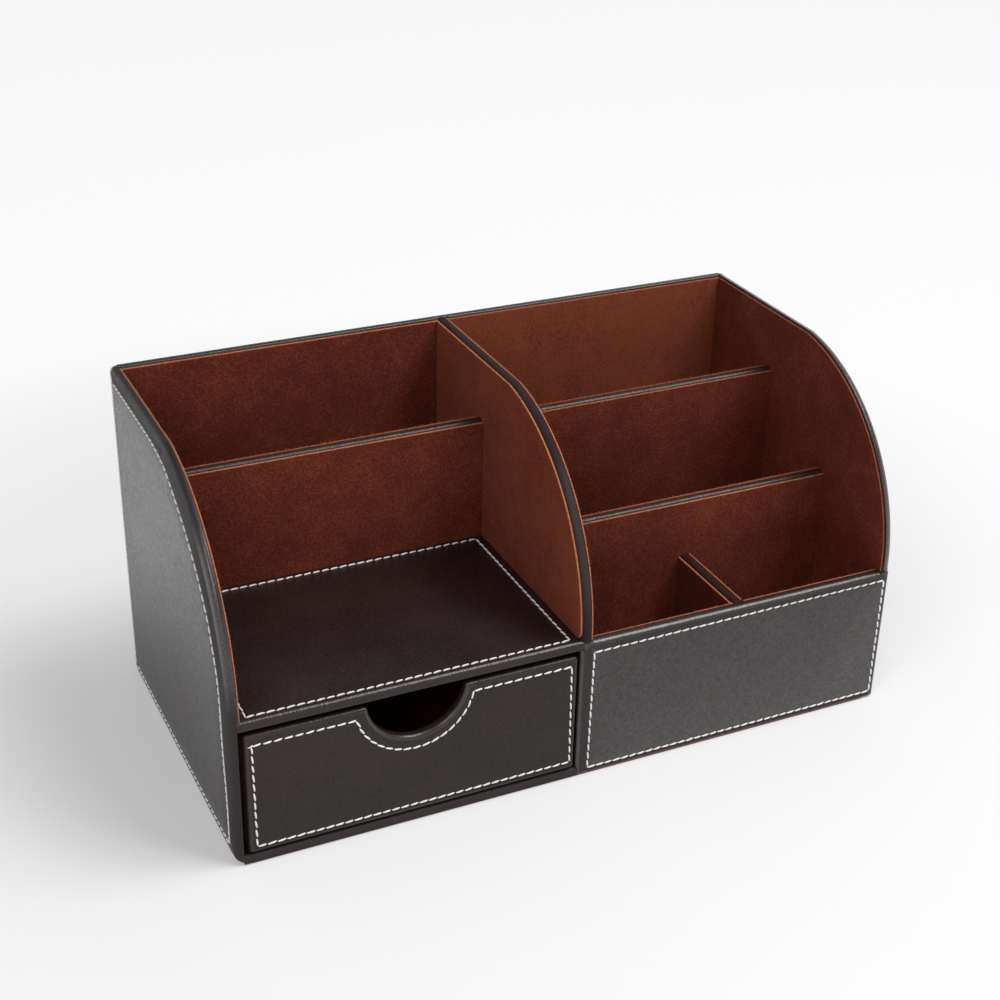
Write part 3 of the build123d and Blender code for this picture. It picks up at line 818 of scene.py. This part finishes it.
def drawerCover():
    d = drawerFront
    (left, right), (outer, back), (low, top) = span("drawer_front_cover")
    middle, thick, c = (left + right) / 2, back - outer, d["corner"]
    notchZ = top - d["notchDepth"] + d["notchRadius"]

    def mouthAt(side, share):  # rounded lip where the notch meets the top edge
        def point(inset):
            small = max(d["mouth"] - inset, tiny)
            cz = top - inset - small
            cx = middle + side * sqrt((d["notchRadius"] + inset + small) ** 2 - (notchZ - cz) ** 2)
            lean = atan2(notchZ - cz, abs(middle - cx))
            angle = blend(pi / 2, lean, share)
            return (cx - side * small * cos(angle), cz + small * sin(angle))
        return point

    def notchAt(share):
        def point(inset):
            small = max(d["mouth"] - inset, tiny)
            reach = d["notchRadius"] + inset
            lean = asin((notchZ - top + inset + small) / (reach + small))
            angle = pi + blend(lean, pi - lean, share)
            return (middle + reach * cos(angle), notchZ + reach * sin(angle))
        return point

    mouthLeft = [mouthAt(-1, i / 5) for i in range(6)]
    mouthRight = [mouthAt(1, 1 - i / 5) for i in range(6)]
    notch = [notchAt((i + 1) / 41) for i in range(40)]
    toe = corner(left, low, c, 1, 1, 5)
    shoulder = corner(left, top, c, 1, -1, 5)
    shoulderRight = corner(right, top, c, -1, -1, 5)
    toeRight = corner(right, low, c, -1, 1, 5)
    stations = toe + run(toe[-1], shoulder[0], 12) + shoulder + run(shoulder[-1], mouthLeft[0], 12) + mouthLeft
    stations += notch + mouthRight + run(mouthRight[-1], shoulderRight[0], 12) + shoulderRight
    stations += run(shoulderRight[-1], toeRight[0], 12) + toeRight + run(toeRight[-1], toe[0], 36)
    section = profile(d["rounding"], d["rounding"], thick, d["fold"], 0)[:-4]
    place = lambda u, v, depth: (u, outer + depth, v)
    rows = [[(place(*station(inset), depth), wear * d["wear"]) for station in stations]
            for inset, depth, wear in section]
    shape = Shape().tube(rows, ends=[])
    lowLeft, lowRight, topRight, topLeft = seamCorners((left, right), (low, top), d["seam"])
    reach = d["seamReach"]
    cu, cv = middle + d["seamShift"][0], notchZ + d["seamShift"][1]
    start, stop = asin((cv - topLeft[1]) / reach), asin((cv - topRight[1]) / reach)
    arc = [(cu + reach * cos(a), cv + reach * sin(a))
           for a in np.linspace(pi + start, tau - stop, 51)]
    corners = [arc[-1], topRight, lowRight, lowLeft, topLeft, arc[0]]
    seams = [(straight(a, b), 1.0) for a, b in zip(corners, corners[1:])] + [(arc, 1.0)]
    rim, innerRim = ([(x, z) for (x, y, z), wear in row] for row in (rows[0], rows[-1]))
    flatFace(shape, rim, place, seams)
    sew("drawer", seams, place, (0, -1, 0))
    (wl, wr), _, (wb, wt) = span("drawer_front_lining")
    window = [(wl, wb), (wr, wb), (wr, wt), (wl, wt)]  # the lining shows here
    boardRim = [station(leather) for station in stations]
    flatFace(shape, innerRim, place, hole=window, depth=thick)
    flatFace(shape, boardRim, place, hole=window, depth=thick - leather)
    shape.grid([[(place(u, v, t), 0) for u, v in window] for t in (thick, thick - leather)])
    shape.grid([[(place(u, v, t), 0) for u, v in boardRim] for t in (thick - leather, leather)])
    shape.cap([(place(u, v, leather), 0) for u, v in boardRim])

    def sheen(p, mark):
        if mark < d["crestMark"]:
            return d["sheen"]
        return d["sheenCrest"] if abs(p[0] - middle) < reach else d["sheenEdge"]

    shape.piece("drawer_front_cover", sheen)
    threadEnd(topLeft, place)


# sideways and up from the seam's corner, lift off the leather, half width
looseThread = ((0.5, 0.25, 0.02, 0.2), (0.2, 0.35, 0.18, 0.28), (-0.2, 0.25, 0.22, 0.28),
               (-0.6, -0.05, 0.18, 0.22), (-1.0, -0.15, 0.14, 0.19), (-1.35, -0.15, 0.10, 0.15),
               (-1.5, -0.1, 0.08, 0.06))


def threadEnd(start, place):  # a short end of thread sticks out at the upper left corner
    rows = []
    for u, v, lift, wide in looseThread:
        x, y, z = place(start[0] + u, start[1] + v, -lift)
        rows.append([((x, y + wide * cos(a), z + wide * sin(a)), 0) for a in circle(8)])
    made = Shape().tube(rows).loose("drawerThreadEnd", mm)
    made.data.materials.append(finish["thread"])
    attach(made, "drawer")


drawerCover()
print("drawer front covered")


# suede linings: thin sheets whose raw edges show a paler cut
lining = {"edgeRounding": 0.3, "jitter": 0.13, "step": 1.6, "stepElsewhere": 25.0, "reveal": 1.0, "short": 0.7,
          "cornerCut": 4.0, "clothCorner": 6.0, "fibreRoot": (0.06, 0.35), "fibreLift": 0.45,
          # per-lining shifts of the suede's tone: painted light where lighter, painted shade on the small
          # divider's left lining
          "napAndPaintedLight": {"back_right_lining": 0.115, "pen_divider_front_lining": 0.03, "centre_left_lining": 0.08,
                      "middle_divider_front_lining": 0.02, "small_divider_left_lining": -0.12},
          "faded": {"right_side_lining": 0.42, "back_right_lining": 0.5, "rear_divider_front_lining": 0.7,
                    "rear_divider_rear_lining": 0.6}}
cutLines = {"carcass": [], "drawer": []}  # where loose fibres grow, in the same form as guides


def suedeSheet(node, outline, axis, way, thick, isCut, kind="suede"):
    face = span(node)["xyz".index(axis)][1 if way > 0 else 0]
    area = sum(a[0] * b[1] - b[0] * a[1] for a, b in zip(outline, outline[1:] + outline[:1]))
    corners = outline if area > 0 else outline[::-1]
    points, cuts = [], []
    for a, b in zip(corners, corners[1:] + corners[:1]):
        cut = isCut(a) and isCut(b)
        count = max(1, round(dist(a, b) / lining["step" if cut else "stepElsewhere"]))
        shares = [i / count for i in range(count)]
        near = lining["short"] / dist(a, b)
        if not cut:  # the pale cut stops short at the corners
            shares += [near] * isCut(a) + [1 - near] * isCut(b)
        for t in sorted(shares):
            points.append((blend(a[0], b[0], t), blend(a[1], b[1], t)))
            cuts.append(cut or isCut(points[-1]))
    normals = []
    for before, here, after in zip(points[-1:] + points, points, points[1:] + points[:1]):
        first, second = (Vector((a[1] - b[1], b[0] - a[0])).normalized()
                         for a, b in ((before, here), (here, after)))
        inward = (first + second).normalized()
        normals.append(inward / max(inward.dot(first), 0.35))
    spread = lambda u, v, w: {"x": (w, u, v), "y": (u, w, v), "z": (u, v, w)}[axis]
    seed = sum(map(ord, pieceName(node, kind))) * 0.13

    def frayed(u, v):
        coarse, fine = (noise.noise(Vector((u * k, v * k, seed))) for k in (0.45, 1.3))
        return 0.5 * lining["jitter"] * (1 + coarse + 0.6 * fine)

    rim = [(u, v, n, frayed(u, v) if cut else 0, cut) for (u, v), n, cut in zip(points, normals, cuts)]
    pale = lining["faded"].get(node, 1.0)
    r = min(lining["edgeRounding"], thick * 0.45)
    rows = []
    for inset, depth, mark in ((2.4 * r, 0, 0), (r, 0.01, 0.1), (0.3 * r, 0.3 * r, 0.8), (0, r, 1),
                               (0, thick * 0.7, 0.75), (0, thick - r * 0.4, 0.25), (0.4 * r, thick, 0.1)):
        rows.append([(spread(u + n.x * (inset + f), v + n.y * (inset + f), face - way * depth),
                      mark * pale if cut else 0.0) for u, v, n, f, cut in rim])
    # the sheet's sheen mark is its painted light and shade
    Shape().tube(rows).piece(node, lining["napAndPaintedLight"].get(node, 0.0), kind)
    inward, deep = lining["fibreRoot"]
    line = [(spread(u + n.x * (f + inward), v + n.y * (f + inward), face - way * thick * deep),
             spread(-n.x, -n.y, lining["fibreLift"] * way), 1.0, 1.0) for u, v, n, f, cut in rim if cut]
    if kind == "suede" and len(line) > 3 and pale > 0.5:
        cutLines[bodyOf(node)].append(line)


def tallLining(node, low, stepBack, way, tip=0.0):
    bottom = span(node)[2][0]
    crest = [station(lining["reveal"]) for station in crestStations(low, backIn)]
    if tip:  # its lower front corner is cut round
        y, z = crest[0]
        arc = [point(0) for point in bend(y + tip, z + tip, tip, 262, 182, 7)]
        crest = arc + [p for p in crest if p[1] > z + tip]
    outline = crest + [(backIn, bottom), (stepBack, bottom), (stepBack, low)]
    curve = set(crest)
    suedeSheet(node, outline, "x", way, suede, lambda p: p in curve)


frontIn = span("front_board")[1][1]
tallLining("left_side_lining", shelfTop, bayBack, 1)
tallLining("centre_left_lining", shelfTop, bayBack, -1, lining["cornerCut"])
tallLining("centre_right_lining", frontTop, frontIn, 1)
tallLining("right_side_lining", frontTop, frontIn, -1)


def flatLining(node, axis, way, kind="suede"):
    box = span(node)
    low, high = box.pop("xyz".index(axis))
    u, v = box
    outline = seamCorners(u, v, [(0, 0)] * 4)
    if kind != "suede":
        signs = ((1, 1), (1, -1), (-1, -1), (-1, 1))
        outline = [point(0) for a, b in signs
                   for point in corner(u[a < 0], v[b < 0], lining["clothCorner"], a, b, 7)]
    isCut = lambda p: axis != "z" and p[1] == v[1] and node != "drawer_front_lining"
    suedeSheet(node, outline, axis, way, min(suede, high - low), isCut, kind)


flatLinings = {"back_left": "-y", "back_right": "-y", "front": "+y", "pen_divider_front": "-y",
               "pen_divider_rear": "+y", "rear_divider_front": "-y", "rear_divider_rear": "+y",
               "middle_divider_front": "-y", "middle_divider_rear": "+y", "small_divider_left": "-x",
               "small_divider_right": "+x", "pen_floor": "+z", "rear_floor": "+z", "middle_floor": "+z",
               "front_left_floor": "+z", "front_right_floor": "+z", "drawer_left": "+x", "drawer_right": "-x",
               "drawer_back": "-y", "drawer_front": "+y", "drawer_floor": "+z"}  # the way each one faces
for part, (sign, axis) in flatLinings.items():
    flatLining(part + "_lining", axis, 1 if sign == "+" else -1)
flatLining("base_cloth", "z", -1, "base_cloth")
print("linings done")


# rows of small bits: one tree form sets a bit along guide lines
class Rows(Graph):
    def __init__(self, name, extra):
        super().__init__(bpy.data.node_groups.new(name, "GeometryNodeTree"))
        kinds = {"Geometry": "Geometry", "Pitch": "Float", "Length": "Float", "Thickness": "Float",
                 extra: "Float", "Seed": "Int", "Bit": "Object", "Finish": "Material"}
        for label, kind in kinds.items():
            self.tree.interface.new_socket(label, in_out="INPUT", socket_type="NodeSocket" + kind)
        self.tree.interface.new_socket("Geometry", in_out="OUTPUT", socket_type="NodeSocketGeometry")
        source = self.tree.nodes.new("NodeGroupInput")
        self.given = {s.name: Wire(self, s) for s in source.outputs if s.name}
        along = self.node("GeometryNodeInputTangent")
        outward = self.attribute("outward", "FLOAT_VECTOR")
        self.turn = self.node("FunctionNodeAxesToRotation", {"primary_axis": "Z", "secondary_axis": "X"},
                              {"Primary Axis": outward, "Secondary Axis": along})

    def attribute(self, name, kind="FLOAT"):
        return self.node("GeometryNodeInputNamedAttribute", {"data_type": kind}, {"Name": name})

    def chance(self, low, high, step):
        sockets = {2: low, 3: high, "Seed": self.given["Seed"] + step}
        return self.node("FunctionNodeRandomValue", {"data_type": "FLOAT"}, sockets, 1)

    def spin(self, axis, angle):
        by = self.node("FunctionNodeAxisAngleToRotation", {}, {"Axis": axis, "Angle": angle})
        self.turn = self.node("FunctionNodeRotateRotation", {"rotation_space": "LOCAL"},
                              {"Rotation": self.turn, "Rotate By": by})

    def close(self, x, y, z, kept=True):
        curve = self.node("GeometryNodeMeshToCurve", {}, {"Mesh": self.given["Geometry"]})
        dots = self.node("GeometryNodeResampleCurve", {"mode": "LENGTH"},
                         {"Curve": curve, "Length": self.given["Pitch"]})
        bit = self.node("GeometryNodeObjectInfo", {"transform_space": "ORIGINAL"},
                        {"Object": self.given["Bit"]}, "Geometry")
        size = self.node("ShaderNodeCombineXYZ", {}, {0: x, 1: y, 2: z})
        placed = self.node("GeometryNodeInstanceOnPoints", {}, {
            "Points": dots, "Selection": kept, "Instance": bit, "Rotation": self.turn, "Scale": size})
        whole = self.node("GeometryNodeRealizeInstances", {}, {"Geometry": placed})
        look = {"Geometry": whole, "Material": self.given["Finish"]}
        self.node("NodeGroupOutput", {}, {"Geometry": self.node("GeometryNodeSetMaterial", {}, look)})
        return self.tree


def guideObject(name, lines):
    dots, links = [], []
    for line in lines:
        links += [(len(dots) + i, len(dots) + i + 1) for i in range(len(line) - 1)]
        dots += line
    points, ways, longs, wides = zip(*dots)
    data = bpy.data.meshes.new(name)
    data.from_pydata([tuple(c * mm for c in p) for p in points], links, [])
    flatWays = [c for way in ways for c in way]
    data.attributes.new("outward", "FLOAT_VECTOR", "POINT").data.foreach_set("vector", flatWays)
    for label, values in (("long", longs), ("wide", wides)):
        data.attributes.new(label, "FLOAT", "POINT").data.foreach_set("value", values)
    return linked(name, data)


def setRows(tree, bit, d, more, lines, ending):  # run on each body's guides, keep plain meshes
    values = {label: d[label.lower()] * mm for label in ("Pitch", "Length", "Thickness")}
    values.update(more, Seed=d["seed"], Bit=bit)
    for body, paths in lines.items():
        guide = guideObject(body + "Guide", paths)
        modifier = guide.modifiers.new("rows", "NODES")
        modifier.node_group = tree
        for item in tree.interface.items_tree:
            if item.in_out == "INPUT" and item.name != "Geometry":
                modifier[item.identifier] = values[item.name]
        depsgraph = bpy.context.evaluated_depsgraph_get()
        data = bpy.data.meshes.new_from_object(guide.evaluated_get(depsgraph), depsgraph=depsgraph)
        bpy.data.objects.remove(guide)
        data.name = body + ending
        made = linked(body + ending, data)
        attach(made, body)
        print(made.name, len(data.polygons), "faces")
    bpy.data.objects.remove(bit)


def threadBit():  # a short twisted thread whose ends dip into the leather
    rows = []
    for x in (-0.5, -0.44, -0.3, -0.1, 0.1, 0.3, 0.44, 0.5):
        t = abs(x) * 2
        wide, lift = 0.5 * sqrt(max(1 - t ** 3.4, 0.03)), 0.26 - 0.55 * t ** 6
        plies = [(a, wide * (1 + 0.10 * cos(2 * a + 7 * x))) for a in circle(8)]
        rows.append([((x, reach * cos(a), lift + reach * sin(a)), 0) for a, reach in plies])
    return Shape().tube(rows).loose("threadBit")


def stitchTree():
    rows = Rows("stitchRow", "Slant")
    given = rows.given
    rows.spin((0, 0, 1), given["Slant"] + rows.chance(-stitch["twist"], stitch["twist"], 0))
    vary = rows.chance(*stitch["vary"], 1)
    return rows.close(given["Length"] * vary * rows.attribute("long"),
                      given["Thickness"] * rows.attribute("wide"), given["Thickness"] * vary)


setRows(stitchTree(), threadBit(), stitch, {"Slant": radians(stitch["slant"]), "Finish": finish["thread"]},
        guides, "Stitches")

# loose fibres along the linings' cut edges
fibre = {"pitch": 0.36, "length": 0.95, "thickness": 0.10, "share": 0.8, "curl": 2.2, "seed": 11,
         "lengths": (0.45, 1.0), "crowding": 2.5,
         "leans": (((0, 1, 0), -0.75, 0.75), ((1, 0, 0), -0.5, 0.5), ((0, 0, 1), 0, tau))}


def fibreBit():
    rows = []
    for t in (0, 0.35, 0.7, 1):
        wide = 0.5 * (1 - 0.65 * t)
        rows.append([((wide * cos(a) + fibre["curl"] * t * t, wide * sin(a), t), 1.0) for a in circle(3)])
    return Shape().tube(rows).loose("fibreBit")


def fibreTree():
    rows = Rows("fibreFringe", "Share")
    given = rows.given
    for step, (axis, low, high) in enumerate(fibre["leans"], 1):
        rows.spin(axis, rows.chance(low, high, step))
    long = rows.chance(*fibre["lengths"], 4) ** fibre["crowding"] * given["Length"]  # mostly short ones
    kept = rows.node("FunctionNodeCompare", {"operation": "LESS_THAN"},
                     {0: rows.chance(0, 1, 5), 1: given["Share"]})
    return rows.close(given["Thickness"], given["Thickness"], long, kept)


setRows(fibreTree(), fibreBit(), fibre, {"Share": fibre["share"], "Finish": finish["suede"]},
        cutLines, "Fibres")


# stage: pale floor, soft light, the photograph's view
stage = {"floor": (0.90, 0.90, 0.905, 1), "floorDark": (0.89, 0.89, 0.895, 1), "clouds": 240, "rough": 0.55,
         "world": 0.33, "worldMirrored": 0.10, "whiteNear": 0.20, "whiteMirrored": 0.06, "whiteFar": 0.86,
         "whiteMiddle": (-0.015, 0.03, 0), "whiteRange": (0.22, 0.40), "mirroredRange": (0.24, 0.95),
         "sweep": ((6.0, 0), (6.5, 0.06), (6.8, 0.25), (6.95, 0.6), (7.0, 1.2), (7.0, 2.2)),
         "tallSide": 32, "tallRise": 1.2, "tallWidth": (0.85, 0.93)}


def makeFloor():
    d, f = stage, Finish("paleFloor")
    colour = f.mix(f.remap(f.speckle(d["clouds"]), 0.3, 0.7), d["floorDark"], d["floor"])
    lit = f.node("ShaderNodeBsdfPrincipled", {}, {"Base Color": colour, "Roughness": d["rough"],
                                                  "Specular IOR Level": 0.3})
    white = f.node("ShaderNodeEmission", {}, {"Color": (1, 1, 1, 1), "Strength": 1.0})
    camera, glossy, through = (f.node("ShaderNodeLightPath", out="Is %s Ray" % kind)
                               for kind in ("Camera", "Glossy", "Transmission"))
    seen = f.remap(f.distance(d["whiteMiddle"]), *d["whiteRange"], d["whiteNear"], d["whiteFar"])
    mirrored = f.remap(f.distance((0, 0, 0)), *d["mirroredRange"], d["whiteMirrored"], d["whiteFar"])
    share = camera * seen + (glossy + through) * mirrored
    f.show(f.node("ShaderNodeMixShader", {}, {0: share, 1: lit, 2: white}))
    low, high = d["tallWidth"]
    ring = []  # it sweeps up into a low backdrop all round, higher behind on the right
    for a in circle(96):
        facing = cos(a - radians(d["tallSide"]))
        ring.append((cos(a), sin(a), 1 + d["tallRise"] * clamp((facing - low) / (high - low))))
    rows = [[((r * x, r * y, z * rise), 0) for x, y, rise in ring] for r, z in d["sweep"]]
    made = Shape().tube(rows, ends=[0]).loose("floor")
    made.data.materials.append(f.material)


makeFloor()

lamps = {"keyBox": {"place": (0.66, -0.42, 1.45), "aim": (0, 0, 0.05), "size": (0.85, 0.85), "power": 18.0},
         "leftBox": {"place": (-0.95, -0.85, 1.15), "aim": (0, 0, 0.07), "size": (0.9, 0.9), "power": 8.0}}
for name, lamp in lamps.items():
    data = bpy.data.lights.new(name, "AREA")
    data.shape = "RECTANGLE"
    data.size, data.size_y = lamp["size"]
    data.energy = lamp["power"]
    made = linked(name, data)
    made.location = lamp["place"]
    made.rotation_euler = (Vector(lamp["aim"]) - Vector(lamp["place"])).to_track_quat("-Z", "Y").to_euler()

world = bpy.data.worlds.new("softWorld")
world.use_nodes = True
sky = Graph(world.node_tree)
sky.tree.nodes.clear()
mirrored = sky.node("ShaderNodeLightPath", out="Is Glossy Ray")  # the studio's ceiling is dark beyond its lamps
strength = stage["world"] - mirrored * (stage["world"] - stage["worldMirrored"])
light = sky.node("ShaderNodeBackground", {}, {"Color": (1, 1, 1, 1), "Strength": strength})
sky.node("ShaderNodeOutputWorld", {}, {"Surface": light})
bpy.context.scene.world = world

view = {"azimuth": -25.74, "elevation": 27.733, "roll": 1.352, "distance": 0.723652, "lens": 63.297,
        "target": (0.0042, 0.015049, 0.079274)}
az, el, roll = (radians(view[k]) for k in ("azimuth", "elevation", "roll"))
back = Vector((sin(az) * cos(el), -cos(az) * cos(el), sin(el)))
right = (-back).cross(Vector((0, 0, 1))).normalized()
up = right.cross(-back)
across, upward = right * cos(roll) + up * sin(roll), up * cos(roll) - right * sin(roll)
lens = bpy.data.cameras.new("photoView")
lens.lens, lens.sensor_width = view["lens"], 36.0
camera = linked("photoView", lens)
turn = Matrix((across, upward, back)).transposed().to_4x4()
camera.matrix_world = Matrix.Translation(Vector(view["target"]) + back * view["distance"]) @ turn
bpy.context.scene.camera = camera
bpy.context.scene.view_settings.view_transform = "Standard"

print("scene ready")
